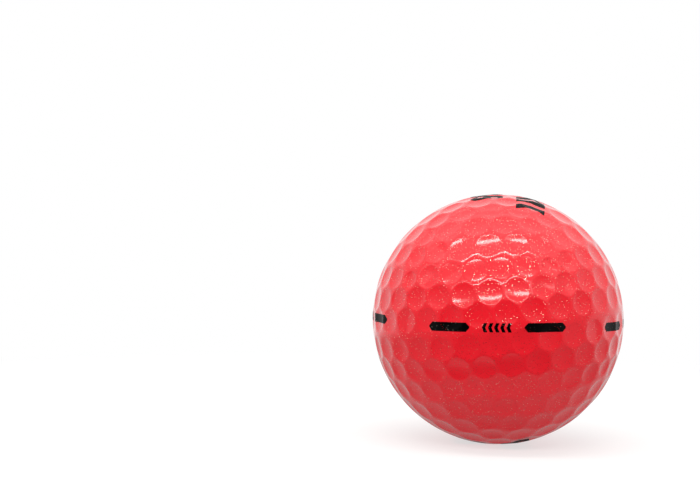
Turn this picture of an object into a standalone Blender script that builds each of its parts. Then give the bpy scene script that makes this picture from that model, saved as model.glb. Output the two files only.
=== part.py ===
"""Golf ball of three-piece construction: a solid core, a mantle and a dimpled cover.

Frame: +Z is the axis the ball is printed about, -Y faces the small side mark, and the origin
is the ball's centre. Lengths are in metres and angles in degrees until they are used.

The mantle and the cover are each moulded as two half cups that meet in a flat seam, so each
half is a node of its own. The pieces are laid out about the mould's own pole axis and then
turned by print_rotation(), because the print is not put on square to the seam.
"""

import math

import bmesh
import bpy
import numpy as np
from mathutils import Matrix, Vector
from mathutils.geometry import delaunay_2d_cdt

# Sizes of the ball and of its layers
BALL_DIAMETER = 0.04267
COVER_WALL = 0.0014
MANTLE_WALL = 0.0013
BOND_GAP = 0.0002
SEAM_GAP = 0.00006

# Dimples
DIMPLE_DEPTH = 0.00025
CORNER_DIMPLE_RADIUS = 0.0015
LARGEST_DIMPLE_RADIUS = 0.0022
LAND_WIDTH = 0.00013
RIM_SIDES = 10
BOWL_RING = 0.6

# Dimple layout over one hemisphere, seen from the mould's pole
RINGS = 6
CORNER_LATITUDE = 24.8
RING_FLATTENING = 0.63
ROW_DIMPLES = 30
UPPER_ROW_LATITUDE = 15.9
LOWER_ROW_LATITUDE = 6.4
SEAM_STAGGER = 30.0

# How the mould's pole axis lies in the ball's printed frame
MOULD_TILT = 7.7
MOULD_TILT_TOWARDS = 185.6
MOULD_SPIN = 41.2

# Facets
SEAM_SIDES = 60
LAYER_SEGMENTS = 36
SHARP_EDGE_ANGLE = 7.0

BALL_RADIUS = BALL_DIAMETER / 2.0
COVER_INNER = BALL_RADIUS - COVER_WALL
MANTLE_OUTER = COVER_INNER - BOND_GAP
MANTLE_INNER = MANTLE_OUTER - MANTLE_WALL
CORE_RADIUS = MANTLE_INNER - BOND_GAP


def clear_scene():
    """Remove whatever the start-up file holds."""
    for found in list(bpy.data.objects):
        bpy.data.objects.remove(found, do_unlink=True)


def material(name, colour, roughness, coat=0.0):
    """A plain Principled material."""
    made = bpy.data.materials.new(name)
    made.use_nodes = True
    shader = made.node_tree.nodes["Principled BSDF"]
    shader.inputs["Base Color"].default_value = (*colour, 1.0)
    shader.inputs["Roughness"].default_value = roughness
    shader.inputs["Coat Weight"].default_value = coat
    made.diffuse_color = (*colour, 1.0)
    return made


def direction_at(latitude, longitude):
    """Unit vector at a latitude and longitude given in degrees."""
    lat = math.radians(latitude)
    lon = math.radians(longitude)
    return Vector((math.cos(lat) * math.cos(lon), math.cos(lat) * math.sin(lon), math.sin(lat)))


def eased_to_ring(direction, ring_start, ring):
    """Draw a point of a ring's side towards the latitude of that ring's corners."""
    latitude = math.degrees(math.asin(direction.z))
    corner_latitude = math.degrees(math.asin(ring_start.z))
    longitude = math.degrees(math.atan2(direction.y, direction.x))
    share = RING_FLATTENING * ring / RINGS
    return direction_at(latitude + (corner_latitude - latitude) * share, longitude)


def hemisphere_layout():
    """Dimple directions of the upper half, with a flag for the small corner dimples."""
    pole = Vector((0.0, 0.0, 1.0))
    corners = [direction_at(CORNER_LATITUDE, 72.0 * side) for side in range(5)]
    found = [(pole, True)]
    for ring in range(1, RINGS + 1):
        for side in range(5):
            start = pole.slerp(corners[side], ring / RINGS)
            end = pole.slerp(corners[(side + 1) % 5], ring / RINGS)
            found.append((start, ring == RINGS))
            for step in range(1, ring):
                between = start.slerp(end, step / ring)
                found.append((eased_to_ring(between, start, ring), False))
    pitch = 360.0 / ROW_DIMPLES
    for index in range(ROW_DIMPLES):
        found.append((direction_at(UPPER_ROW_LATITUDE, pitch * (index + 0.5)), False))
    for index in range(ROW_DIMPLES):
        found.append((direction_at(LOWER_ROW_LATITUDE, pitch * index), False))
    return found


def dimple_angles(layout):
    """Angular radius of each dimple of a hemisphere: as large as its neighbours leave room for."""
    half = np.array([tuple(direction) for direction, _ in layout])
    turn = np.array(Matrix.Rotation(math.radians(SEAM_STAGGER), 3, "Z"))
    other = (half * (1.0, 1.0, -1.0)) @ turn.T
    everything = np.vstack([half, other])
    apart = np.arccos(np.clip(everything @ everything.T, -1.0, 1.0))
    np.fill_diagonal(apart, math.pi)
    corner = np.array([flag for _, flag in layout] * 2)
    largest = np.where(corner, CORNER_DIMPLE_RADIUS, LARGEST_DIMPLE_RADIUS) / BALL_RADIUS
    land = LAND_WIDTH / BALL_RADIUS
    radius = np.minimum((apart.min(axis=1) - land) / 2.0, largest)
    for _ in range(60):
        room = (apart - radius[None, :] - land).min(axis=1)
        radius = radius + 0.5 * (np.minimum(room, largest) - radius)
    return radius[: len(layout)]


def ring_directions(centre, angle):
    """Corners of a ring of one dimple, evenly round its centre."""
    across = centre.orthogonal().normalized()
    along = centre.cross(across)
    found = []
    for index in range(RIM_SIDES):
        turn = math.tau * (index + 0.5) / RIM_SIDES
        sideways = across * math.cos(turn) + along * math.sin(turn)
        found.append(centre * math.cos(angle) + sideways * math.sin(angle))
    return found


def flattened(direction):
    """Stereographic map of the upper hemisphere on to a disc, seen from the lower pole."""
    return Vector((direction.x, direction.y)) / (1.0 + direction.z)


def add_dimpled_surface(mesh):
    """Add the dimpled outer surface of the upper half, open along the seam."""
    layout = hemisphere_layout()
    points = []
    rings = []

    def add_ring(ring):
        first = len(points)
        points.extend(ring)
        rings.extend((first + i, first + (i + 1) % len(ring)) for i in range(len(ring)))

    for (centre, _), angle in zip(layout, dimple_angles(layout)):
        points.append(centre * (BALL_RADIUS - DIMPLE_DEPTH))
        for share in (BOWL_RING, 1.0):
            radius = BALL_RADIUS - DIMPLE_DEPTH * (1.0 - share**2)
            add_ring([spoke * radius for spoke in ring_directions(centre, angle * share)])
    turns = [360.0 * i / SEAM_SIDES for i in range(SEAM_SIDES)]
    add_ring([direction_at(0.0, turn) * BALL_RADIUS for turn in turns])
    disc = [flattened(point.normalized()) for point in points]
    result = delaunay_2d_cdt(disc, rings, [], 1, 1e-9)
    faces, sources = result[2], result[3]
    corners = [mesh.verts.new(point) for point in points]
    for face in faces:
        mesh.faces.new([corners[sources[index][0]] for index in face])


def add_hemisphere(mesh, radius):
    """Add a plain upper hemisphere surface, open along the seam."""
    made = bmesh.ops.create_uvsphere(
        mesh, u_segments=LAYER_SEGMENTS, v_segments=LAYER_SEGMENTS // 2, radius=radius
    )
    below = [vert for vert in made["verts"] if vert.co.z < -radius * 1e-3]
    bmesh.ops.delete(mesh, geom=below, context="VERTS")
    for vert in made["verts"]:
        if vert.is_valid and abs(vert.co.z) < radius * 1e-3:
            vert.co.z = 0.0


def close_seam(mesh):
    """Fill the flat ring between the two open loops of a half cup and face it outwards."""
    loops = [edge for edge in mesh.edges if edge.is_boundary]
    bmesh.ops.triangle_fill(mesh, use_beauty=True, edges=loops, normal=(0.0, 0.0, -1.0))
    bmesh.ops.triangulate(mesh, faces=mesh.faces[:])
    bmesh.ops.recalc_face_normals(mesh, faces=mesh.faces[:])


def print_rotation():
    """Turn from the mould's frame to the ball's printed frame."""
    towards = Matrix.Rotation(math.radians(MOULD_TILT_TOWARDS), 4, "Z")
    tilt = Matrix.Rotation(math.radians(MOULD_TILT), 4, "Y")
    spin = Matrix.Rotation(math.radians(MOULD_SPIN), 4, "Z")
    return towards @ tilt @ spin


def place(mesh, lower):
    """Open the seam gap, mirror the lower half with its stagger, and turn to the ball's frame."""
    bmesh.ops.translate(mesh, verts=mesh.verts[:], vec=(0.0, 0.0, SEAM_GAP / 2.0))
    if lower:
        stagger = Matrix.Rotation(math.radians(SEAM_STAGGER), 4, "Z")
        mirror = Matrix.Diagonal((1.0, 1.0, -1.0, 1.0))
        bmesh.ops.transform(mesh, matrix=stagger @ mirror, verts=mesh.verts[:])
        bmesh.ops.reverse_faces(mesh, faces=mesh.faces[:])
    bmesh.ops.transform(mesh, matrix=print_rotation(), verts=mesh.verts[:])


def finish(name, mesh, surface):
    """Turn the finished mesh into one named object, smooth but for its rims and edges."""
    limit = math.radians(SHARP_EDGE_ANGLE if name.startswith("cover") else 30.0)
    for face in mesh.faces:
        face.smooth = True
    for edge in mesh.edges:
        edge.smooth = edge.calc_face_angle() < limit
    data = bpy.data.meshes.new(name)
    mesh.to_mesh(data)
    mesh.free()
    made = bpy.data.objects.new(name, data)
    bpy.context.scene.collection.objects.link(made)
    data.materials.append(surface)
    return made


def build_cover(name, lower, surface):
    """One dimpled half of the cover."""
    mesh = bmesh.new()
    add_dimpled_surface(mesh)
    add_hemisphere(mesh, COVER_INNER)
    close_seam(mesh)
    place(mesh, lower)
    return finish(name, mesh, surface)


def build_mantle(name, lower, surface):
    """One plain half cup of the mantle."""
    mesh = bmesh.new()
    add_hemisphere(mesh, MANTLE_OUTER)
    add_hemisphere(mesh, MANTLE_INNER)
    close_seam(mesh)
    place(mesh, lower)
    return finish(name, mesh, surface)


def build_core(name, surface):
    """The solid core."""
    mesh = bmesh.new()
    bmesh.ops.create_uvsphere(
        mesh, u_segments=LAYER_SEGMENTS, v_segments=LAYER_SEGMENTS // 2, radius=CORE_RADIUS
    )
    bmesh.ops.triangulate(mesh, faces=mesh.faces[:])
    bmesh.ops.transform(mesh, matrix=print_rotation(), verts=mesh.verts[:])
    return finish(name, mesh, surface)


def main():
    """Build every piece."""
    clear_scene()
    ionomer = material("cover_ionomer_coral", (0.80, 0.055, 0.06), 0.25, coat=1.0)
    mantle = material("mantle_ionomer_white", (0.82, 0.80, 0.78), 0.45)
    rubber = material("core_rubber_blue", (0.16, 0.30, 0.48), 0.75)
    build_core("core", rubber)
    build_mantle("mantle_upper", False, mantle)
    build_mantle("mantle_lower", True, mantle)
    build_cover("cover_upper", False, ionomer)
    build_cover("cover_lower", True, ionomer)


main()
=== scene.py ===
import logging
import math
from dataclasses import dataclass, field
from enum import Enum
from typing import Any, Callable, Iterable

import bmesh
import bpy
from mathutils import Matrix, Vector
from mathutils.kdtree import KDTree


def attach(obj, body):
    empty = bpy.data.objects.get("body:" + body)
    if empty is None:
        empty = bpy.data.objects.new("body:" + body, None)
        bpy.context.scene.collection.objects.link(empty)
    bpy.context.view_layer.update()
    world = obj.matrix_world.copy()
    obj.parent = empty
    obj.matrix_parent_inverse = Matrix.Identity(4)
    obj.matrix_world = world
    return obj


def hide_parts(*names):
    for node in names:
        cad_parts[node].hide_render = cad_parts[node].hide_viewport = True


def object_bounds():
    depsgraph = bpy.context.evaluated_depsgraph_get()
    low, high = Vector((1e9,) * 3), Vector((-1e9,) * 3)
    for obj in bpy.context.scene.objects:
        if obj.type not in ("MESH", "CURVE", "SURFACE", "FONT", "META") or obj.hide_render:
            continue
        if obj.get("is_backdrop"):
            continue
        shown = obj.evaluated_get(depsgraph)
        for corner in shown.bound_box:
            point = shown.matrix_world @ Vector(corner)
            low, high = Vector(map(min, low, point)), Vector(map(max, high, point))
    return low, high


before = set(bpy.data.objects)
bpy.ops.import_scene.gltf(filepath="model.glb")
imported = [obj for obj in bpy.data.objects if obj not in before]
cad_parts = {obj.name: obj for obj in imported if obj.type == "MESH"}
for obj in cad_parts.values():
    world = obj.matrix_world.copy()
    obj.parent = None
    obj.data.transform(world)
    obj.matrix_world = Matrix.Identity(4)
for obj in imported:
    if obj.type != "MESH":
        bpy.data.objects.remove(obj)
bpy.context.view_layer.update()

LOG = logging.getLogger("golf_ball")
MM = 0.001
BODY = "root"
BALL_RADIUS = 21.335 * MM

Colour = tuple[float, float, float]
Mesh = bmesh.types.BMesh

WHITE: Colour = (1.0, 1.0, 1.0)
BLACK: Colour = (0.0, 0.0, 0.0)
UP = Vector((0.0, 0.0, 1.0))
MIDDLE = Vector((0.0, 0.0, 0.0))


# Shader tools


class Value:
    """A shader value that takes part in Python arithmetic."""

    def __init__(self, graph: "Graph", socket: bpy.types.NodeSocket) -> None:
        """Wrap an output socket of a graph."""
        self.graph = graph
        self.socket = socket

    def _join(self, operation: str, left: Any, right: Any) -> "Value":
        """Add one Math node.

        Args:
            operation: Math node operation.
            left: first value, a Value or a number.
            right: second value, a Value or a number.

        Returns:
            The node's result.
        """
        node = self.graph.node("ShaderNodeMath", {"operation": operation}, {0: left, 1: right})
        return self.graph.value(node, 0)

    def __add__(self, other: Any) -> "Value":
        """self + other."""
        return self._join("ADD", self, other)

    def __radd__(self, other: Any) -> "Value":
        """other + self."""
        return self._join("ADD", other, self)

    def __sub__(self, other: Any) -> "Value":
        """self - other."""
        return self._join("SUBTRACT", self, other)

    def __rsub__(self, other: Any) -> "Value":
        """other - self."""
        return self._join("SUBTRACT", other, self)

    def __mul__(self, other: Any) -> "Value":
        """self * other."""
        return self._join("MULTIPLY", self, other)

    def __rmul__(self, other: Any) -> "Value":
        """other * self."""
        return self._join("MULTIPLY", other, self)

    def __lt__(self, other: Any) -> "Value":
        """1 where self is below other, else 0."""
        return self._join("LESS_THAN", self, other)

    def highest(self, other: Any) -> "Value":
        """The larger of self and other."""
        return self._join("MAXIMUM", self, other)


class Graph:
    """The node tree of one material or of the world."""

    def __init__(self, owner: bpy.types.ID) -> None:
        """Empty the node tree of a material or world, and keep it for building.

        Args:
            owner: the material or world.
        """
        owner.use_nodes = True
        self.tree = owner.node_tree
        self.tree.nodes.clear()

    def node(
        self,
        kind: str,
        settings: dict[str, Any] | None = None,
        inputs: dict[Any, Any] | None = None,
    ) -> bpy.types.Node:
        """Add one node.

        Args:
            kind: node type, such as ShaderNodeMath.
            settings: node properties, set before the sockets.
            inputs: socket name or index to a Value, an output socket or a constant.

        Returns:
            The new node.
        """
        made = self.tree.nodes.new(kind)
        for name, setting in (settings or {}).items():
            setattr(made, name, setting)
        for name, given in (inputs or {}).items():
            self._feed(made.inputs[name], given)
        return made

    def value(self, node: bpy.types.Node, output: Any) -> Value:
        """Wrap one output of a node."""
        return Value(self, node.outputs[output])

    def mix_colour(self, share: Any, first: Any, second: Any) -> bpy.types.NodeSocket:
        """Blend two colours.

        Args:
            share: 0 for the first colour, 1 for the second.
            first: colour tuple or output socket.
            second: colour tuple or output socket.

        Returns:
            The blended colour's socket.
        """
        made = self.node("ShaderNodeMix", {"data_type": "RGBA"}, {0: share, 6: first, 7: second})
        return made.outputs[2]

    def vector(self, operation: str, first: Any, second: Any = None) -> bpy.types.NodeSocket:
        """Add one Vector Math node and return its vector."""
        inputs = {0: first} if second is None else {0: first, 1: second}
        return self.node("ShaderNodeVectorMath", {"operation": operation}, inputs).outputs[0]

    def scaled(self, vector: Any, amount: Any) -> bpy.types.NodeSocket:
        """Multiply a vector by a number or a Value."""
        inputs = {0: vector, "Scale": amount}
        return self.node("ShaderNodeVectorMath", {"operation": "SCALE"}, inputs).outputs[0]

    def finish(self, kind: str, shader: bpy.types.NodeSocket) -> None:
        """Connect a shader to the output node of a type."""
        self.node(kind, None, {"Surface": shader})

    def _feed(self, socket: bpy.types.NodeSocket, given: Any) -> None:
        """Link or set one input socket.

        Args:
            socket: the input.
            given: a Value or an output socket to link, or a constant; a colour may have 3 parts.
        """
        if isinstance(given, Value):
            self.tree.links.new(given.socket, socket)
        elif isinstance(given, bpy.types.NodeSocket):
            self.tree.links.new(given, socket)
        elif socket.type == "RGBA" and len(given) == 3:
            socket.default_value = (*given, 1.0)
        else:
            socket.default_value = given


# Finishes


@dataclass(frozen=True)
class GlitterLayer:
    """Fine metal flakes that float in the clear coat, over cover and ink alike.

    Space is split into cells, and some of them hold one flake. flake_reach is a flake's radius
    as a share of a cell. A flake leans by up to half of tilt, and bare gloss by half of ripple.
    """

    cell: float = 0.13 * MM
    flake_reach: float = 0.33
    share_of_cells: float = 0.165
    tilt: float = 0.36
    ripple: float = 0.045
    silver: Colour = (1.0, 0.88, 0.80)
    gold: Colour = (1.0, 0.76, 0.52)
    dull: Colour = (0.15, 0.006, 0.010)

    def flakes(self, graph: Graph) -> tuple[Value, bpy.types.NodeSocket, bpy.types.NodeSocket]:
        """Scatter the flakes through the object's space.

        Args:
            graph: node tree to build in.

        Returns:
            The flake mask, each flake's colour, and the surface normal, which leans a little in
            every cell and further in a flake.
        """
        place = graph.node("ShaderNodeTexCoord")
        cells = graph.node(
            "ShaderNodeTexVoronoi",
            {"voronoi_dimensions": "3D", "feature": "F1"},
            {"Vector": place.outputs["Object"], "Scale": 1.0 / self.cell},
        )
        chance = graph.node("ShaderNodeSeparateColor", None, {0: cells.outputs["Color"]})
        pick, warmth, bright = (graph.value(chance, part) for part in range(3))
        mask = (graph.value(cells, "Distance") < self.flake_reach) * (pick < self.share_of_cells)
        metal = graph.mix_colour(warmth, self.silver, self.gold)
        tint = graph.mix_colour(bright * bright, self.dull, metal)
        outward = graph.node("ShaderNodeNewGeometry").outputs["Normal"]
        lean = graph.vector("SUBTRACT", cells.outputs["Color"], (0.5, 0.5, 0.5))
        amount = mask * (self.tilt - self.ripple) + self.ripple
        leaned = graph.vector("ADD", outward, graph.scaled(lean, amount))
        normal = graph.vector("NORMALIZE", leaned)
        return mask, tint, normal


@dataclass(frozen=True)
class GlitterPaint:
    """A solid colour under the clear coat with its glitter."""

    name: str
    deep: Colour
    pale: Colour
    mottle_size: float
    body_roughness: float
    flake_roughness: float = 0.22
    body_specular: float = 0.22
    coat_weight: float = 0.45
    coat_roughness: float = 0.045
    coat_ior: float = 1.46
    glitter: GlitterLayer = field(default_factory=GlitterLayer)

    def build(self) -> bpy.types.Material:
        """Make the material.

        Returns:
            A Principled material with a clear coat.
        """
        made = bpy.data.materials.new(self.name)
        graph = Graph(made)
        place = graph.node("ShaderNodeTexCoord")
        clouds = graph.node(
            "ShaderNodeTexNoise",
            None,
            {"Vector": place.outputs["Object"], "Scale": 1.0 / self.mottle_size, "Detail": 3.0},
        )
        body = graph.mix_colour(graph.value(clouds, 0), self.deep, self.pale)
        mask, tint, normal = self.glitter.flakes(graph)
        spread = self.body_roughness - self.flake_roughness
        shader = graph.node(
            "ShaderNodeBsdfPrincipled",
            None,
            {
                "Base Color": graph.mix_colour(mask, body, tint),
                "Metallic": mask,
                "Roughness": self.body_roughness - mask * spread,
                "Normal": normal,
                "Specular IOR Level": self.body_specular,
                "Coat Weight": self.coat_weight,
                "Coat Roughness": self.coat_roughness,
                "Coat IOR": self.coat_ior,
            },
        )
        graph.finish("ShaderNodeOutputMaterial", shader.outputs[0])
        return made


@dataclass(frozen=True)
class MouldedLayer:
    """A plain moulded layer inside the ball: cured rubber or satin plastic."""

    name: str
    deep: Colour
    pale: Colour
    speckle_size: float
    roughness: float
    bump: float
    roughness_spread: float = 0.2
    bump_height: float = 0.05 * MM

    def build(self) -> bpy.types.Material:
        """Make the material.

        Returns:
            A Principled material with speckle and a fine moulded texture.
        """
        made = bpy.data.materials.new(self.name)
        graph = Graph(made)
        place = graph.node("ShaderNodeTexCoord")
        speckle = graph.node(
            "ShaderNodeTexNoise",
            None,
            {"Vector": place.outputs["Object"], "Scale": 1.0 / self.speckle_size, "Detail": 6.0},
        )
        amount = graph.value(speckle, 0)
        texture = graph.node(
            "ShaderNodeBump",
            None,
            {"Strength": self.bump, "Distance": self.bump_height, "Height": amount},
        )
        smoothest = self.roughness - self.roughness_spread / 2.0
        shader = graph.node(
            "ShaderNodeBsdfPrincipled",
            None,
            {
                "Base Color": graph.mix_colour(amount, self.deep, self.pale),
                "Roughness": amount * self.roughness_spread + smoothest,
                "Normal": texture.outputs[0],
            },
        )
        graph.finish("ShaderNodeOutputMaterial", shader.outputs[0])
        return made


CORAL_GLITTER = GlitterPaint(
    name="coral_glitter_cover",
    deep=(0.645, 0.0085, 0.0165),
    pale=(0.705, 0.0115, 0.0215),
    mottle_size=6.0 * MM,
    body_roughness=0.07,
)
BLACK_INK = GlitterPaint(
    name="black_ink_under_coat",
    deep=(0.0004, 0.0003, 0.0004),
    pale=(0.0010, 0.0008, 0.0009),
    mottle_size=0.8 * MM,
    body_roughness=0.4,
    body_specular=0.0,
    coat_weight=0.28,
    glitter=GlitterLayer(share_of_cells=0.05, dull=(0.02, 0.01, 0.01)),
)
CORE_RUBBER = MouldedLayer(
    name="core_cured_rubber",
    deep=(0.12, 0.24, 0.40),
    pale=(0.20, 0.36, 0.55),
    speckle_size=0.4 * MM,
    roughness=0.75,
    bump=0.4,
)
MANTLE_PLASTIC = MouldedLayer(
    name="mantle_satin_plastic",
    deep=(0.76, 0.74, 0.72),
    pale=(0.86, 0.84, 0.82),
    speckle_size=1.5 * MM,
    roughness=0.45,
    bump=0.15,
)


# The mould: where the dimples lie


class Half(Enum):
    """The two halves of the mould."""

    UPPER = "upper"
    LOWER = "lower"


@dataclass(frozen=True)
class Dimple:
    """One dimple: the way its centre faces and its angular radius in radians."""

    centre: Vector
    angle: float


def facing(latitude: float, longitude: float) -> Vector:
    """Unit vector at a latitude and longitude in degrees."""
    lat, lon = math.radians(latitude), math.radians(longitude)
    return Vector((math.cos(lat) * math.cos(lon), math.cos(lat) * math.sin(lon), math.sin(lat)))


def tree_of(points: list[Vector]) -> KDTree:
    """Put points in a tree for finding the nearest.

    Args:
        points: in the order of their numbers.

    Returns:
        The balanced tree.
    """
    tree = KDTree(len(points))
    for index, point in enumerate(points):
        tree.insert(point, index)
    tree.balance()
    return tree


@dataclass
class Mould:
    """Dimple layout: per half a pole dimple, six rings and two rows of thirty.

    Latitudes and turns are in degrees. The mould's own pole lies off the printed pole by tilt.
    """

    radius: float = BALL_RADIUS
    dimple_depth: float = 0.25 * MM
    bowl_curve: float = 2.25
    corner_dimple_radius: float = 1.5 * MM
    largest_dimple_radius: float = 2.2 * MM
    land: float = 0.13 * MM
    rings: int = 6
    corner_latitude: float = 24.8
    ring_flattening: float = 0.63
    row_dimples: int = 30
    row_latitudes: tuple[float, float] = (15.9, 6.4)
    seam_stagger: float = 30.0
    tilt: float = 7.7
    tilt_towards: float = 185.6
    spin: float = 41.2
    neighbours: int = 8
    sizing_rounds: int = 60

    def __post_init__(self) -> None:
        """Lay out one half, then every dimple of the ball with a tree to look them up."""
        self.upper = self._sized(self._upper_layout())
        self.everywhere = [
            Dimple((self.to_ball(half) @ dimple.centre).normalized(), dimple.angle)
            for half in Half
            for dimple in self.upper
        ]
        self.tree = tree_of([dimple.centre for dimple in self.everywhere])

    def to_ball(self, half: Half) -> Matrix:
        """Turn from a half's own frame to the ball's printed frame.

        Args:
            half: which half of the mould; the lower one is mirrored and staggered.

        Returns:
            A 4 by 4 matrix.
        """
        turn = (
            Matrix.Rotation(math.radians(self.tilt_towards), 4, "Z")
            @ Matrix.Rotation(math.radians(self.tilt), 4, "Y")
            @ Matrix.Rotation(math.radians(self.spin), 4, "Z")
        )
        if half is Half.LOWER:
            stagger = Matrix.Rotation(math.radians(self.seam_stagger), 4, "Z")
            turn = turn @ stagger @ Matrix.Diagonal((1.0, 1.0, -1.0, 1.0))
        return turn

    def height(self, share: float) -> float:
        """Distance from the ball's centre at a share of a dimple's radius."""
        return self.radius - self.dimple_depth * max(0.0, 1.0 - share**self.bowl_curve)

    def height_at(self, direction: Vector) -> float:
        """Find the cover's surface.

        Args:
            direction: unit vector in the ball's frame.

        Returns:
            Distance from the ball's centre to the cover.
        """
        for _, index, _ in self.tree.find_n(direction, 4):
            dimple = self.everywhere[index]
            share = direction.angle(dimple.centre, 0.0) / dimple.angle
            if share < 1.0:
                return self.height(share)
        return self.radius

    def _eased(self, direction: Vector, start: Vector, ring: int) -> Vector:
        """Draw a point of a ring's side towards the latitude of the ring's corners.

        Args:
            direction: the point.
            start: a corner of the ring.
            ring: the ring's number, from 1 at the pole.

        Returns:
            The point, moved along its meridian.
        """
        latitude = math.degrees(math.asin(direction.z))
        corner = math.degrees(math.asin(start.z))
        longitude = math.degrees(math.atan2(direction.y, direction.x))
        share = self.ring_flattening * ring / self.rings
        return facing(latitude + (corner - latitude) * share, longitude)

    def _upper_layout(self) -> list[tuple[Vector, bool]]:
        """Lay out the dimple centres of the upper half in the mould's own frame.

        Returns:
            Each centre with a flag for the small corner dimples.
        """
        pole = UP.copy()
        corners = [facing(self.corner_latitude, 72.0 * side) for side in range(5)]
        found = [(pole, True)]
        for ring in range(1, self.rings + 1):
            for side in range(5):
                start = pole.slerp(corners[side], ring / self.rings)
                end = pole.slerp(corners[(side + 1) % 5], ring / self.rings)
                found.append((start, ring == self.rings))
                for step in range(1, ring):
                    between = start.slerp(end, step / ring)
                    found.append((self._eased(between, start, ring), False))
        pitch = 360.0 / self.row_dimples
        for latitude, shift in zip(self.row_latitudes, (0.5, 0.0)):
            for index in range(self.row_dimples):
                found.append((facing(latitude, pitch * (index + shift)), False))
        return found

    def _sized(self, layout: list[tuple[Vector, bool]]) -> list[Dimple]:
        """Give each dimple the largest radius that its neighbours leave room for.

        Args:
            layout: centres of the upper half, with corner flags.

        Returns:
            The upper half's dimples.
        """
        stagger = Matrix.Rotation(math.radians(self.seam_stagger), 3, "Z")
        centres = [centre for centre, _ in layout]
        centres += [stagger @ Vector((c.x, c.y, -c.z)) for c in centres]
        land = self.land / self.radius
        small = self.corner_dimple_radius / self.radius
        large = self.largest_dimple_radius / self.radius
        limits = [small if corner else large for _, corner in layout] * 2
        tree = tree_of(centres)
        near = []
        for centre in centres:
            found = tree.find_n(centre, self.neighbours + 1)[1:]
            near.append([(other, centre.angle(centres[other])) for _, other, _ in found])
        sizes = [min(limit, (row[0][1] - land) / 2.0) for limit, row in zip(limits, near)]
        for _ in range(self.sizing_rounds):
            rooms = [min(apart - sizes[other] - land for other, apart in row) for row in near]
            sizes = [
                size + 0.5 * (min(room, limit) - size)
                for size, room, limit in zip(sizes, rooms, limits)
            ]
        return [Dimple(centre, size) for (centre, _), size in zip(layout, sizes)]


# Meshes


def sharpen(mesh: Mesh, limit: float) -> None:
    """Shade a mesh smooth but for its sharp edges.

    Args:
        mesh: closed bmesh.
        limit: the least turn, in degrees, that makes an edge sharp.
    """
    for face in mesh.faces:
        face.smooth = True
    for edge in mesh.edges:
        edge.smooth = edge.calc_face_angle(math.pi) < math.radians(limit)


def as_piece(name: str, mesh: Mesh, material: bpy.types.Material) -> bpy.types.Object:
    """Turn a bmesh into a piece with one material, at the origin.

    Args:
        name: the piece's name.
        mesh: finished bmesh in the ball's frame; it is freed.
        material: the piece's finish.

    Returns:
        The new object.
    """
    data = bpy.data.meshes.new(name)
    mesh.to_mesh(data)
    mesh.free()
    data.materials.append(material)
    made = bpy.data.objects.new(name, data)
    bpy.context.scene.collection.objects.link(made)
    return made


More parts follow.
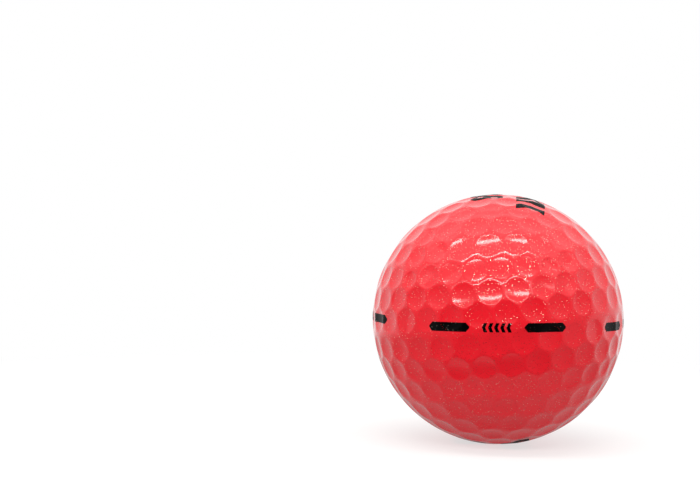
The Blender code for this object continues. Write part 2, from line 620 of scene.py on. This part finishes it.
@dataclass
class CoverHalf:
    """One dimpled half cup of the cover.

    bowl_shares are the rings of a bowl, as shares of its rim. seam_band is the plain strip along
    the seam, in degrees, and past rim_share a point counts as land.
    """

    mould: Mould
    half: Half
    wall: float = 1.4 * MM
    rim_sides: int = 24
    bowl_shares: tuple[float, ...] = (0.93, 0.72, 0.42)
    seam_sides: int = 120
    seam_band: float = 0.3
    inner_segments: int = 60
    rim_share: float = 0.999
    sharp_edge: float = 40.0

    def build(self, material: bpy.types.Material) -> bpy.types.Object:
        """Model the half and stand it in for its CAD node.

        Args:
            material: the cover's finish.

        Returns:
            The piece.
        """
        mesh = bmesh.new()
        self._lay_out_flat(mesh)
        self._wrap(mesh)
        self._add_inside(mesh)
        turn = self.mould.to_ball(self.half)
        bmesh.ops.transform(mesh, matrix=turn, verts=mesh.verts[:])
        bmesh.ops.recalc_face_normals(mesh, faces=mesh.faces[:])
        sharpen(mesh, self.sharp_edge)
        piece = as_piece(f"dimpled_cover_{self.half.value}", mesh, material)
        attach(piece, BODY)
        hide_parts(f"cover_{self.half.value}")
        return piece

    def _lay_out_flat(self, mesh: Mesh) -> None:
        """Draw the half as a flat disc, in which every dimple's rim is still a circle.

        Args:
            mesh: empty bmesh to draw in.
        """
        caps = []
        for dimple in self.mould.upper:
            away = dimple.centre.angle(UP, 0.0)
            near = math.tan((away - dimple.angle) / 2.0)
            far = math.tan((away + dimple.angle) / 2.0)
            size = (far - near) / 2.0
            across = Vector((dimple.centre.x, dimple.centre.y, 0.0))
            across = across.normalized() if across.length > 1e-6 else Vector((1.0, 0.0, 0.0))
            bmesh.ops.create_circle(
                mesh,
                cap_ends=True,
                segments=self.rim_sides,
                radius=size,
                matrix=Matrix.Translation(across * (far + near) / 2.0),
            )
            mesh.faces.ensure_lookup_table()
            caps.append((mesh.faces[-1], size))
        band = math.tan(math.radians(90.0 - self.seam_band) / 2.0)
        bmesh.ops.create_circle(mesh, segments=self.seam_sides, radius=band)
        bmesh.ops.triangle_fill(mesh, use_beauty=True, edges=mesh.edges[:], normal=UP)
        outer = [edge for edge in mesh.edges if edge.is_boundary]
        grown = bmesh.ops.extrude_edge_only(mesh, edges=outer)["geom"]
        rim = [item for item in grown if isinstance(item, bmesh.types.BMVert)]
        bmesh.ops.scale(mesh, vec=(1.0 / band, 1.0 / band, 1.0), verts=rim)
        self._ring_bowls(mesh, caps)

    def _ring_bowls(self, mesh: Mesh, caps: list[tuple[bmesh.types.BMFace, float]]) -> None:
        """Add the rings that each bowl's curve needs, down to a centre point.

        Args:
            mesh: the flat disc.
            caps: each dimple's face, with its radius on the disc.
        """
        for cap, size in caps:
            outer = 1.0
            for share in self.bowl_shares:
                step = (outer - share) * size
                bmesh.ops.inset_individual(
                    mesh, faces=[cap], thickness=step, use_even_offset=True
                )
                outer = share
        bmesh.ops.poke(mesh, faces=[cap for cap, _ in caps])

    def _wrap(self, mesh: Mesh) -> None:
        """Wrap the flat disc on to the ball and press the bowls in.

        Args:
            mesh: the flat disc; the lower pole is the point it is seen from.
        """
        tree = tree_of([dimple.centre for dimple in self.mould.upper])
        for vert in mesh.verts:
            square = vert.co.x**2 + vert.co.y**2
            direction = Vector((2.0 * vert.co.x, 2.0 * vert.co.y, 1.0 - square)) / (1.0 + square)
            height = self.mould.radius
            for _, index, _ in tree.find_n(direction, 3):
                dimple = self.mould.upper[index]
                share = direction.angle(dimple.centre, 0.0) / dimple.angle
                if share < self.rim_share:
                    height = self.mould.height(share)
            vert.co = direction * height

    def _add_inside(self, mesh: Mesh) -> None:
        """Add the smooth inner wall and the flat seam face.

        Args:
            mesh: the outer surface, open along the seam.
        """
        inner = bmesh.ops.create_uvsphere(
            mesh,
            u_segments=self.inner_segments,
            v_segments=self.inner_segments // 2,
            radius=self.mould.radius - self.wall,
        )["verts"]
        below = [vert for vert in inner if vert.co.z < -0.1 * MM]
        bmesh.ops.delete(mesh, geom=below, context="VERTS")
        loops = [edge for edge in mesh.edges if edge.is_boundary]
        bmesh.ops.triangle_fill(mesh, use_beauty=True, edges=loops, normal=(0.0, 0.0, -1.0))


# Printed marks


TIP_SHARE = 0.16
CHEVRON_STROKE = 0.64
CHEVRON_PITCH_SHARE = 0.88
SLOT_SQUARING = 0.16
EIGHT_WAIST = 0.05
EIGHT_COUNTER_WIDTH = 0.30
EIGHT_COUNTERS = ((0.235, 0.215), (-0.215, 0.255))


def join_flat(mesh: Mesh, faces: Iterable[bmesh.types.BMFace]) -> None:
    """Merge touching flat faces of a shape into one."""
    bmesh.ops.dissolve_faces(mesh, faces=list(faces), use_verts=False)


def draw_bar(mesh: Mesh, length: float, height: float, taper: float, at: Vector) -> None:
    """Draw a flat bar with pointed ends.

    Args:
        mesh: flat mesh to add to.
        length: from point to point, along X.
        height: across the bar, along Y.
        taper: length of each pointed end.
        at: middle of the bar.
    """
    verts = bmesh.ops.create_grid(mesh, x_segments=1, y_segments=1, size=0.5)["verts"]
    straight = length - 2.0 * taper
    bmesh.ops.scale(mesh, vec=(straight, height, 1.0), verts=verts)
    faces = set(verts[0].link_faces)
    for side in (-1.0, 1.0):
        ends = [vert for vert in verts if vert.co.x * side > 0.0]
        edge = next(e for e in ends[0].link_edges if e.other_vert(ends[0]) in ends)
        grown = bmesh.ops.extrude_edge_only(mesh, edges=[edge])["geom"]
        tips = [item for item in grown if isinstance(item, bmesh.types.BMVert)]
        faces.update(item for item in grown if isinstance(item, bmesh.types.BMFace))
        bmesh.ops.translate(mesh, vec=(side * taper, 0.0, 0.0), verts=tips)
        bmesh.ops.scale(mesh, vec=(1.0, TIP_SHARE, 1.0), verts=tips)
        verts += tips
    bmesh.ops.translate(mesh, vec=at, verts=verts)
    join_flat(mesh, faces)


def draw_chevron(mesh: Mesh, width: float, height: float, at: Vector) -> None:
    """Draw a flat chevron that points against X.

    Args:
        mesh: flat mesh to add to.
        width: from its back corners to its point.
        height: along Y.
        at: middle of its box.
    """
    stroke = CHEVRON_STROKE * width
    verts = bmesh.ops.create_grid(mesh, x_segments=1, y_segments=2, size=0.5)["verts"]
    faces = {face for vert in verts for face in vert.link_faces}
    bmesh.ops.scale(mesh, vec=(stroke, height, 1.0), verts=verts)
    middle = [vert for vert in verts if abs(vert.co.y) < 0.1 * height]
    bmesh.ops.translate(mesh, vec=((width - stroke) / 2.0, 0.0, 0.0), verts=verts)
    bmesh.ops.translate(mesh, vec=(stroke - width, 0.0, 0.0), verts=middle)
    bmesh.ops.translate(mesh, vec=at, verts=verts)
    join_flat(mesh, faces)


def draw_chevron_row(mesh: Mesh, count: int, width: float, height: float, up: float) -> None:
    """Draw a row of chevrons.

    Args:
        mesh: flat mesh to add to.
        count: how many.
        width: of the whole row.
        height: of each.
        up: height of the row's middle.
    """
    pitch = width / (count - 1 + CHEVRON_PITCH_SHARE)
    for index in range(count):
        across = (index - (count - 1) / 2.0) * pitch
        draw_chevron(mesh, CHEVRON_PITCH_SHARE * pitch, height, Vector((across, up, 0.0)))


def draw_slot_loop(mesh: Mesh, width: float, height: float, at: Vector, waist: float) -> None:
    """Draw an upright slot outline as edges only.

    Args:
        mesh: flat mesh to add to.
        width: along X; the ends are round, a little squared.
        height: along Y.
        at: middle of the slot.
        waist: how far its sides pull in at the middle.
    """
    side = width / 2.0
    verts = bmesh.ops.create_circle(mesh, segments=32, radius=side)["verts"]
    reach = (height - width) / 2.0
    for vert in verts:
        turn = math.atan2(vert.co.y, vert.co.x)
        square = 1.0 + SLOT_SQUARING * abs(math.sin(2.0 * turn))
        vert.co.x = max(-side, min(side, vert.co.x * square))
        vert.co.y = max(-side, min(side, vert.co.y * square))
        if abs(vert.co.y) < 0.02 * width:
            vert.co.x -= math.copysign(waist, vert.co.x)
        else:
            vert.co.y += math.copysign(reach, vert.co.y)
    bmesh.ops.translate(mesh, vec=at, verts=verts)


def draw_eight(mesh: Mesh, width: float, height: float, at: Vector) -> None:
    """Draw one heavy, narrow figure eight.

    Args:
        mesh: flat mesh to add to.
        width: along X.
        height: along Y.
        at: middle of the digit.
    """
    before = set(mesh.edges)
    draw_slot_loop(mesh, width, height, at, EIGHT_WAIST * width)
    for middle, tall in EIGHT_COUNTERS:
        spot = at + Vector((0.0, middle * height, 0.0))
        draw_slot_loop(mesh, EIGHT_COUNTER_WIDTH * width, tall * height, spot, 0.0)
    loops = [edge for edge in mesh.edges if edge not in before]
    bmesh.ops.triangle_fill(mesh, use_beauty=True, edges=loops, normal=UP)


@dataclass
class PadPrint:
    """One hit of the printing pad: flat artwork pressed on to the dimpled cover.

    The film stands proud of the cover by lift and reaches into it by bite.
    """

    name: str
    mould: Mould
    draw: Callable[[Mesh], None]
    place: Matrix
    grain: float = 0.2 * MM
    lift: float = 0.014 * MM
    bite: float = 0.03 * MM
    sharp_edge: float = 50.0

    def build(self, material: bpy.types.Material) -> bpy.types.Object:
        """Make the ink film.

        Args:
            material: the ink's finish.

        Returns:
            The piece.
        """
        mesh = bmesh.new()
        self.draw(mesh)
        self._cut_into_cells(mesh)
        grown = bmesh.ops.extrude_face_region(mesh, geom=mesh.faces[:])["geom"]
        tops = {item for item in grown if isinstance(item, bmesh.types.BMVert)}
        for vert in mesh.verts:
            direction = self._press(vert.co)
            height = self.mould.height_at(direction)
            vert.co = direction * (height + (self.lift if vert in tops else -self.bite))
        bmesh.ops.recalc_face_normals(mesh, faces=mesh.faces[:])
        sharpen(mesh, self.sharp_edge)
        piece = as_piece(self.name, mesh, material)
        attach(piece, BODY)
        return piece

    def _cut_into_cells(self, mesh: Mesh) -> None:
        """Cut the flat artwork into small cells so that it can follow the dimples.

        Args:
            mesh: the artwork, flat on XY.
        """
        for axis in range(2):
            low = min(vert.co[axis] for vert in mesh.verts)
            high = max(vert.co[axis] for vert in mesh.verts)
            normal = Vector.Fill(3, 0.0)
            normal[axis] = 1.0
            for step in range(1, math.ceil((high - low) / self.grain)):
                bmesh.ops.bisect_plane(
                    mesh,
                    geom=mesh.verts[:] + mesh.edges[:] + mesh.faces[:],
                    dist=0.002 * MM,
                    plane_co=normal * (low + step * self.grain),
                    plane_no=normal,
                )
        bmesh.ops.triangulate(mesh, faces=mesh.faces[:])

    def _press(self, flat: Vector) -> Vector:
        """Press one point of the artwork on to the ball.

        Args:
            flat: the point on the flat artwork.

        Returns:
            The way it faces on the ball.
        """
        reach = math.hypot(flat.x, flat.y)
        if reach < 1e-9:
            return (self.place @ UP).normalized()
        angle = reach / self.mould.radius
        side = Vector((flat.x / reach, flat.y / reach, 0.0)) * math.sin(angle)
        return (self.place @ (side + Vector((0.0, 0.0, math.cos(angle))))).normalized()


@dataclass
class SideStamp:
    """A pad hit on the ball's side: two dashes with a small mark between them.

    longitude, turn and dash_reach, the way from the mark to each dash, are in degrees.
    """

    mould: Mould
    number: int
    longitude: float
    turn: float = 0.0
    dash_reach: float = 21.1
    dash_length: float = 7.0 * MM
    dash_height: float = 1.46 * MM
    dash_taper: float = 0.58 * MM
    mark_width: float = 4.7 * MM
    mark_height: float = 1.44 * MM
    chevrons: int = 5

    def build(self, material: bpy.types.Material) -> list[bpy.types.Object]:
        """Print the two dashes and the small mark.

        Args:
            material: the ink's finish.

        Returns:
            The pieces.
        """
        first = 2 * self.number
        hits = (
            (f"dash_{first}", self._draw_dash, -self.dash_reach),
            (f"side_mark_{self.number}", self._draw_mark, 0.0),
            (f"dash_{first + 1}", self._draw_dash, self.dash_reach),
        )
        return [
            PadPrint(name, self.mould, draw, self._place(along)).build(material)
            for name, draw, along in hits
        ]

    def _draw_dash(self, mesh: Mesh) -> None:
        """Draw one dash."""
        draw_bar(mesh, self.dash_length, self.dash_height, self.dash_taper, MIDDLE)

    def _draw_mark(self, mesh: Mesh) -> None:
        """Draw the small row of chevrons."""
        draw_chevron_row(mesh, self.chevrons, self.mark_width, self.mark_height, 0.0)

    def _place(self, along: float) -> Matrix:
        """Place flat artwork on the side: X along the stripe, Y to the ball's top, Z outwards.

        Args:
            along: way along the stripe from the stamp's middle, in degrees.

        Returns:
            Turn from the artwork's frame to the ball's.
        """
        to_side = Matrix(((1, 0, 0, 0), (0, 0, -1, 0), (0, 1, 0, 0), (0, 0, 0, 1)))
        return (
            Matrix.Rotation(math.radians(self.longitude), 4, "Z")
            @ to_side
            @ Matrix.Rotation(math.radians(self.turn), 4, "Z")
            @ Matrix.Rotation(math.radians(along), 4, "Y")
        )


@dataclass
class PoleStamp:
    """A pad hit on a pole: a large row of chevrons over the play number.

    along and up are how far off the pole the hit landed, in metres.
    """

    mould: Mould
    half: Half
    along: float
    up: float
    row_width: float = 14.6 * MM
    row_height: float = 4.96 * MM
    row_up: float = 3.94 * MM
    chevrons: int = 5
    digit_width: float = 3.27 * MM
    digit_height: float = 5.6 * MM
    digit_gap: float = 0.40 * MM
    number_up: float = -3.61 * MM

    def build(self, material: bpy.types.Material) -> bpy.types.Object:
        """Print the stamp.

        Args:
            material: the ink's finish.

        Returns:
            The piece.
        """
        name = f"pole_stamp_{self.half.value}"
        return PadPrint(name, self.mould, self._draw, self._place()).build(material)

    def _draw(self, mesh: Mesh) -> None:
        """Draw the whole stamp about its middle.

        Args:
            mesh: empty bmesh to draw in.
        """
        draw_chevron_row(mesh, self.chevrons, self.row_width, self.row_height, self.row_up)
        across = (self.digit_width + self.digit_gap) / 2.0
        for side in (-across, across):
            spot = Vector((side, self.number_up, 0.0))
            draw_eight(mesh, self.digit_width, self.digit_height, spot)

    def _place(self) -> Matrix:
        """Place flat artwork on the pole, with its own up along the ball's +X.

        Returns:
            Turn from the artwork's frame to the ball's.
        """
        side = 1.0 if self.half is Half.UPPER else -1.0
        read = Vector((0.0, -side, 0.0))
        up = Vector((1.0, 0.0, 0.0))
        out = read.cross(up)
        basis = Matrix((read, up, out)).transposed().to_4x4()
        lie_along = Matrix.Rotation(self.along / self.mould.radius, 4, "Y")
        lie_up = Matrix.Rotation(-self.up / self.mould.radius, 4, "X")
        return basis @ lie_along @ lie_up


# Studio


@dataclass(frozen=True)
class SoftBox:
    """A rectangular soft light that faces the ball; its angles are in degrees.

    A light that isn't mirrored lights the ball but doesn't show in its gloss.
    """

    name: str
    elevation: float
    side: float
    distance: float
    width: float
    height: float
    radiance: float
    slant: float = 0.0
    mirrored: bool = True
    colour: Colour = (1.0, 0.97, 0.93)

    def build(self) -> bpy.types.Object:
        """Hang the light.

        Returns:
            The light object.
        """
        lamp = bpy.data.lights.new(self.name, "AREA")
        lamp.shape = "RECTANGLE"
        lamp.size, lamp.size_y = self.width, self.height
        lamp.energy = self.radiance * math.pi * self.width * self.height
        lamp.color = self.colour
        made = bpy.data.objects.new(self.name, lamp)
        turn = (
            Matrix.Rotation(math.radians(-self.elevation), 4, "X")
            @ Matrix.Rotation(math.radians(self.side), 4, "Z")
            @ Matrix.Rotation(math.radians(90.0), 4, "X")
            @ Matrix.Rotation(math.radians(self.slant), 4, "Z")
        )
        made.matrix_world = turn @ Matrix.Translation((0.0, 0.0, self.distance))
        made.visible_camera = False
        made.visible_glossy = self.mirrored
        bpy.context.scene.collection.objects.link(made)
        return made


# Elevation, side, distance, width, height, radiance
SOFT_BOXES = (
    SoftBox("overhead_softbox", 67.6, -6.0, 0.50, 0.420, 0.038, 14.5, slant=7.0),
    SoftBox("overhead_wings", 67.6, -3.0, 0.52, 0.660, 0.040, 3.0, slant=5.0),
    SoftBox("overhead_halo", 67.0, -5.0, 0.55, 2.00, 0.19, 0.66),
    SoftBox("front_softbox", 33.5, -3.0, 0.50, 0.420, 0.036, 14.5, slant=4.0),
    SoftBox("front_wings", 34.5, -1.0, 0.52, 0.760, 0.038, 3.0, slant=3.0),
    SoftBox("front_halo", 34.5, -6.0, 0.55, 1.90, 0.12, 0.50),
    SoftBox("front_fill", 52.0, 0.0, 0.60, 2.00, 0.60, 0.17),
    SoftBox("ceiling_diffuser", 96.5, 0.0, 0.506, 1.10, 0.38, 0.64),
    SoftBox("left_fill", 10.0, -100.0, 0.80, 1.00, 0.80, 0.50, mirrored=False),
    SoftBox("right_fill", 10.0, 100.0, 0.80, 1.00, 0.80, 0.50, mirrored=False),
)


@dataclass
class Studio:
    """Pale floor, white surround, soft lights, a glowing screen that paints dark reflections on
    the ball, and the camera.

    view_distance is in ball radii, and its angles are in degrees. ball_across, ball_down and
    ball_size are shares of the frame's width: how far the ball lies right of and below the
    frame's middle, and its radius.
    """

    ball_radius: float = BALL_RADIUS
    boxes: tuple[SoftBox, ...] = SOFT_BOXES
    floor_radius: float = 2.5
    floor_gap: float = 0.01 * MM
    # floor_lit is a darker copy of floor_seen for every ray but the camera's: painted shade in
    # the ball's bounce light and gloss. floor_glow and floor_sheen add painted light: a white
    # glow for diffuse rays and for reflections.
    floor_lit: Colour = (0.35, 0.35, 0.35)
    floor_seen: Colour = (0.86, 0.86, 0.86)
    floor_glow: float = 0.65
    floor_sheen: float = 0.24
    floor_lift: float = 0.65
    floor_fade: tuple[float, float] = (0.04, 0.16)
    surround_light: float = 0.75
    # Painted reflection: the screen's mat and wall glow at these tones, so the ball's gloss shows
    # a dark front.
    mat_near: float = 34.5 * MM
    mat_fade: float = 1.2
    screen_gap: float = 0.2 * MM
    screen_radius: float = 0.45
    screen_height: float = 0.24
    painted_near_tone: float = 0.28
    painted_dark_tone: float = 0.07
    painted_side_tone: float = 0.48
    screen_turn: tuple[float, float] = (0.40, 0.95)
    screen_rise_from: float = 0.05
    view_distance: float = 11.5
    view_elevation: float = 3.8
    view_roll: float = 1.75
    ball_across: float = 0.21014
    ball_down: float = 0.09829
    ball_size: float = 0.17714
    sensor: float = 36.0

    def build(self) -> None:
        """Set up everything round the ball."""
        low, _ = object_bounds()
        self._floor(low.z - self.floor_gap)
        self._painted_reflection_screen(low.z + self.screen_gap)
        self._surround()
        for box in self.boxes:
            box.build()
        self._camera()
        bpy.context.scene.view_settings.view_transform = "Standard"

    def _floor(self, level: float) -> None:
        """Lay the floor: lit and shadowed near the ball, plain white far away; to the ball's rays
        it also glows as painted light.

        Args:
            level: height of the floor.
        """
        mesh = bmesh.new()
        bmesh.ops.create_circle(mesh, cap_ends=True, segments=96, radius=self.floor_radius)
        bmesh.ops.translate(mesh, vec=(0.0, 0.0, level), verts=mesh.verts[:])
        material = bpy.data.materials.new("pale_floor")
        graph = Graph(material)
        away = graph.node("ShaderNodeVectorMath", {"operation": "LENGTH"}, {0: self._flat(graph)})
        fade = self._ramp(graph, away.outputs["Value"], self.floor_fade, (0.0, 1.0))
        path = graph.node("ShaderNodeLightPath")
        camera = graph.value(path, "Is Camera Ray")
        tone = graph.mix_colour(camera, self.floor_lit, self.floor_seen)
        # Painted light: diffuse rays see a white glow that lights the ball's underside. Glossy
        # rays see the floor paler than it is lit, which is a painted reflection.
        painted_glow = graph.value(path, "Is Diffuse Ray") * self.floor_glow
        sheen = graph.value(path, "Is Glossy Ray") * self.floor_sheen
        far = fade * self._seen(graph)
        share = far.highest(camera * self.floor_lift + painted_glow + sheen)
        lit = graph.node("ShaderNodeBsdfDiffuse", None, {"Color": tone})
        white = graph.node("ShaderNodeEmission", None, {"Color": WHITE, "Strength": 1.0})
        mixed = graph.node(
            "ShaderNodeMixShader", None, {0: share, 1: lit.outputs[0], 2: white.outputs[0]}
        )
        graph.finish("ShaderNodeOutputMaterial", mixed.outputs[0])
        as_piece("floor", mesh, material)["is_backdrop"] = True

    def _painted_reflection_screen(self, level: float) -> None:
        """Stand the glowing screen of painted reflection in front of the ball: a wall and a floor
        mat.

        Args:
            level: height of the mat and of the wall's foot.
        """
        # Painted reflection and shade: both cards glow, unseen by the camera and casting no
        # shadow. The mat shows only in the ball's gloss. Diffuse rays also see the wall's glow,
        # which paints shade on the ball's front, paler towards the wall's top.
        finish = self._painted_reflection_glow()
        mesh = self._half_ring(self.mat_near)
        wider = self.screen_radius / self.mat_near
        bmesh.ops.scale(mesh, vec=(wider, wider, 1.0), verts=self._grow(mesh))
        bmesh.ops.translate(mesh, vec=(0.0, 0.0, level), verts=mesh.verts[:])
        mat = as_piece("dark_floor_mat", mesh, finish)
        mat.visible_diffuse = False
        mesh = self._half_ring(self.screen_radius)
        bmesh.ops.translate(mesh, vec=(0.0, 0.0, self.screen_height), verts=self._grow(mesh))
        bmesh.ops.translate(mesh, vec=(0.0, 0.0, level), verts=mesh.verts[:])
        wall = as_piece("dark_wall", mesh, finish)
        for screen in (mat, wall):
            screen.visible_camera = False
            screen.visible_shadow = False
            screen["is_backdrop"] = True

    @staticmethod
    def _half_ring(radius: float) -> Mesh:
        """Draw a half circle of edges in front of the ball.

        Args:
            radius: of the circle.

        Returns:
            A new bmesh.
        """
        mesh = bmesh.new()
        verts = bmesh.ops.create_circle(mesh, segments=72, radius=radius)["verts"]
        behind = [vert for vert in verts if vert.co.y > 1e-6]
        bmesh.ops.delete(mesh, geom=behind, context="VERTS")
        return mesh

    @staticmethod
    def _grow(mesh: Mesh) -> list[bmesh.types.BMVert]:
        """Extrude a half ring's edges and return the new edges' corners."""
        grown = bmesh.ops.extrude_edge_only(mesh, edges=mesh.edges[:])["geom"]
        return [item for item in grown if isinstance(item, bmesh.types.BMVert)]

    @staticmethod
    def _flat(graph: Graph) -> bpy.types.NodeSocket:
        """A point's place across the floor, with its height left out."""
        place = graph.node("ShaderNodeTexCoord").outputs["Object"]
        return graph.vector("MULTIPLY", place, (1.0, 1.0, 0.0))

    @staticmethod
    def _ramp(
        graph: Graph,
        given: bpy.types.NodeSocket,
        span: tuple[float, float],
        levels: tuple[float, float],
    ) -> Value:
        """Turn a value smoothly from one level to another.

        Args:
            graph: node tree to build in.
            given: the value to read.
            span: where the turn starts and ends.
            levels: the result before and after it.

        Returns:
            The smooth step.
        """
        inputs = {
            "Value": given,
            "From Min": span[0],
            "From Max": span[1],
            "To Min": levels[0],
            "To Max": levels[1],
        }
        kind = {"interpolation_type": "SMOOTHSTEP"}
        return graph.value(graph.node("ShaderNodeMapRange", kind, inputs), 0)

    def _painted_reflection_glow(self) -> bpy.types.Material:
        """Mix the screen's painted reflection tone: dark in front, paler by the ball, to the
        sides and to its top.

        Returns:
            A glowing material.
        """
        material = bpy.data.materials.new("painted_reflection_screen")
        graph = Graph(material)
        flat = self._flat(graph)
        across = graph.vector("ABSOLUTE", graph.vector("NORMALIZE", flat))
        across = graph.node("ShaderNodeSeparateXYZ", None, {0: across}).outputs[0]
        side = self._ramp(graph, across, self.screen_turn, (self.painted_dark_tone, self.painted_side_tone))
        away = graph.node("ShaderNodeVectorMath", {"operation": "LENGTH"}, {0: flat})
        span = (self.mat_near, self.mat_near * self.mat_fade)
        near = self._ramp(graph, away.outputs["Value"], span, (self.painted_near_tone, 0.0))
        place = graph.node("ShaderNodeTexCoord").outputs["Object"]
        up = graph.node("ShaderNodeSeparateXYZ", None, {0: place}).outputs[2]
        span = (self.screen_rise_from, self.screen_height)
        rise = self._ramp(graph, up, span, (0.0, 1.0))
        level = side.highest(near)
        tone = graph.mix_colour(level + (1.0 - level) * rise, BLACK, WHITE)
        glow = graph.node("ShaderNodeEmission", None, {"Color": tone, "Strength": 1.0})
        graph.finish("ShaderNodeOutputMaterial", glow.outputs[0])
        return material

    def _surround(self) -> None:
        """Make the world white where it is seen and a plain level where it lights."""
        world = bpy.data.worlds.new("white_surround")
        bpy.context.scene.world = world
        graph = Graph(world)
        strength = self._seen(graph) * (1.0 - self.surround_light) + self.surround_light
        white = graph.node("ShaderNodeBackground", None, {"Color": WHITE, "Strength": strength})
        graph.finish("ShaderNodeOutputWorld", white.outputs[0])

    @staticmethod
    def _seen(graph: Graph) -> Value:
        """Tell which rays show the surround.

        Args:
            graph: node tree to build in.

        Returns:
            1 for rays from the camera, in a reflection or through glass, else 0.
        """
        path = graph.node("ShaderNodeLightPath")
        camera = graph.value(path, "Is Camera Ray")
        glossy = graph.value(path, "Is Glossy Ray")
        return camera.highest(glossy).highest(graph.value(path, "Is Transmission Ray"))

    def _camera(self) -> None:
        """Place the camera and turn it so that the ball lies low and right in the frame."""
        lens = bpy.data.cameras.new("camera")
        focal = self.ball_size * math.sqrt(self.view_distance**2 - 1.0)
        lens.sensor_width = self.sensor
        lens.lens = self.sensor * focal
        lens.clip_start, lens.clip_end = 0.01, 20.0
        out = facing(self.view_elevation, -90.0)
        level = out.to_track_quat("Z", "Y").to_matrix()
        rolled = level @ Matrix.Rotation(math.radians(self.view_roll), 3, "Z")
        to_ball = Vector((self.ball_across, -self.ball_down, -focal))
        swing = (-UP).rotation_difference(to_ball).to_matrix()
        turned = (rolled @ swing.inverted()).to_4x4()
        camera = bpy.data.objects.new("camera", lens)
        spot = Matrix.Translation(out * self.view_distance * self.ball_radius)
        camera.matrix_world = spot @ turned
        bpy.context.scene.collection.objects.link(camera)
        bpy.context.scene.camera = camera


# The ball


@dataclass
class GolfBall:
    """The whole ball: layers, cover and print.

    side_hits holds each side stamp's longitude and turn, in degrees. pole_hits holds how far
    each pole stamp lies off its pole, along and up, in metres.
    """

    mould: Mould = field(default_factory=Mould)
    side_hits: tuple[tuple[float, float], ...] = (
        (0.0, 1.4),
        (85.5, 0.0),
        (180.0, 0.0),
        (271.0, 0.0),
    )
    pole_hits: tuple[tuple[Half, float, float], ...] = (
        (Half.UPPER, 2.25 * MM, 1.2 * MM),
        (Half.LOWER, 0.8 * MM, -0.3 * MM),
    )

    def build(self) -> list[bpy.types.Object]:
        """Build and dress every piece.

        Returns:
            The dressed CAD nodes and the new pieces.
        """
        made = self._dress_layers()
        cover = CORAL_GLITTER.build()
        ink = BLACK_INK.build()
        made += [CoverHalf(self.mould, half).build(cover) for half in Half]
        for number, (longitude, turn) in enumerate(self.side_hits):
            made += SideStamp(self.mould, number, longitude, turn).build(ink)
        made += [PoleStamp(self.mould, *hit).build(ink) for hit in self.pole_hits]
        return made

    @staticmethod
    def _dress_layers() -> list[bpy.types.Object]:
        """Give the hidden CAD layers their own finishes.

        Returns:
            The CAD nodes.
        """
        rubber = CORE_RUBBER.build()
        plastic = MANTLE_PLASTIC.build()
        layers = {"core": rubber, "mantle_upper": plastic, "mantle_lower": plastic}
        nodes = [bpy.data.objects[name] for name in layers]
        for node, finish in zip(nodes, layers.values()):
            for slot in node.material_slots:
                slot.material = finish
        return nodes


def main() -> None:
    """Build the ball, then the studio round it."""
    logging.basicConfig(level=logging.INFO, format="%(name)s: %(message)s")
    for piece in GolfBall().build():
        LOG.info("%s: %d faces", piece.name, len(piece.data.polygons))
    Studio().build()


if __name__ == "__main__":
    main()
